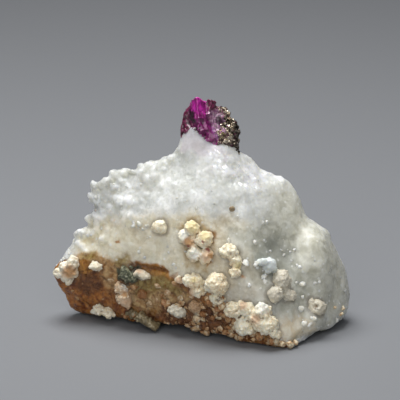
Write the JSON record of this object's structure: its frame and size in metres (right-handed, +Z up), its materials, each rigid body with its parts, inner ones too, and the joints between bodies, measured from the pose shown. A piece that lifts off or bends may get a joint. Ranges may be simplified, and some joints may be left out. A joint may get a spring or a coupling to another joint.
{
  "type": "ruby in marble matrix mineral specimen",
  "caption": "Broken wedge of white marble on a flat foot, with a small ruby and its pyrite crust on the summit and mineral grains over the front.",
  "frame": {"origin": "on the ground under the middle of the stone's bounding box", "axes": "+X to the right as the picture sees it, along the stone's length, +Y away from the viewer, +Z up"},
  "size_m": [0.0505, 0.0266, 0.0397],
  "materials": {
    "marble": "broken white marble, partly translucent, stained orange-brown low on the front",
    "ruby": "broken magenta to wine-red crystal with a glassy shine",
    "pyrite": "dark brassy metallic, small bright faces",
    "green_mineral": "dull, dark green",
    "olive_mineral": "dull, olive brown",
    "cream_mineral": "grainy, matt cream",
    "pale_mineral": "grainy, pale grey-cream",
    "blue_white_mineral": "waxy, blue-white",
    "white_mineral": "grainy, matt white",
    "brownish_mineral": "grainy, brownish pink"
  },
  "bodies": {
    "root": {"marble_matrix": "marble", "ruby_crystal": "ruby", "pyrite_crust": "pyrite", "green_crystals": "green_mineral", "olive_crystal": "olive_mineral", "round_nodule": "cream_mineral", "knobbly_nodule": "cream_mineral", "lone_cream_grain": "cream_mineral", "grain_rosette": "cream_mineral", "grain_chain": "cream_mineral", "foot_nodules": "cream_mineral", "tip_crust": "cream_mineral", "ring_nodule": "pale_mineral", "pale_nodules": "pale_mineral", "blue_white_chunk": "blue_white_mineral", "ledge_grain": "white_mineral", "under_ledge_lump": "white_mineral", "dish_grain": "white_mineral", "base_grain": "white_mineral", "ledge_nodule": "brownish_mineral", "slab_grain": "brownish_mineral"}
  },
  "joints": []
}
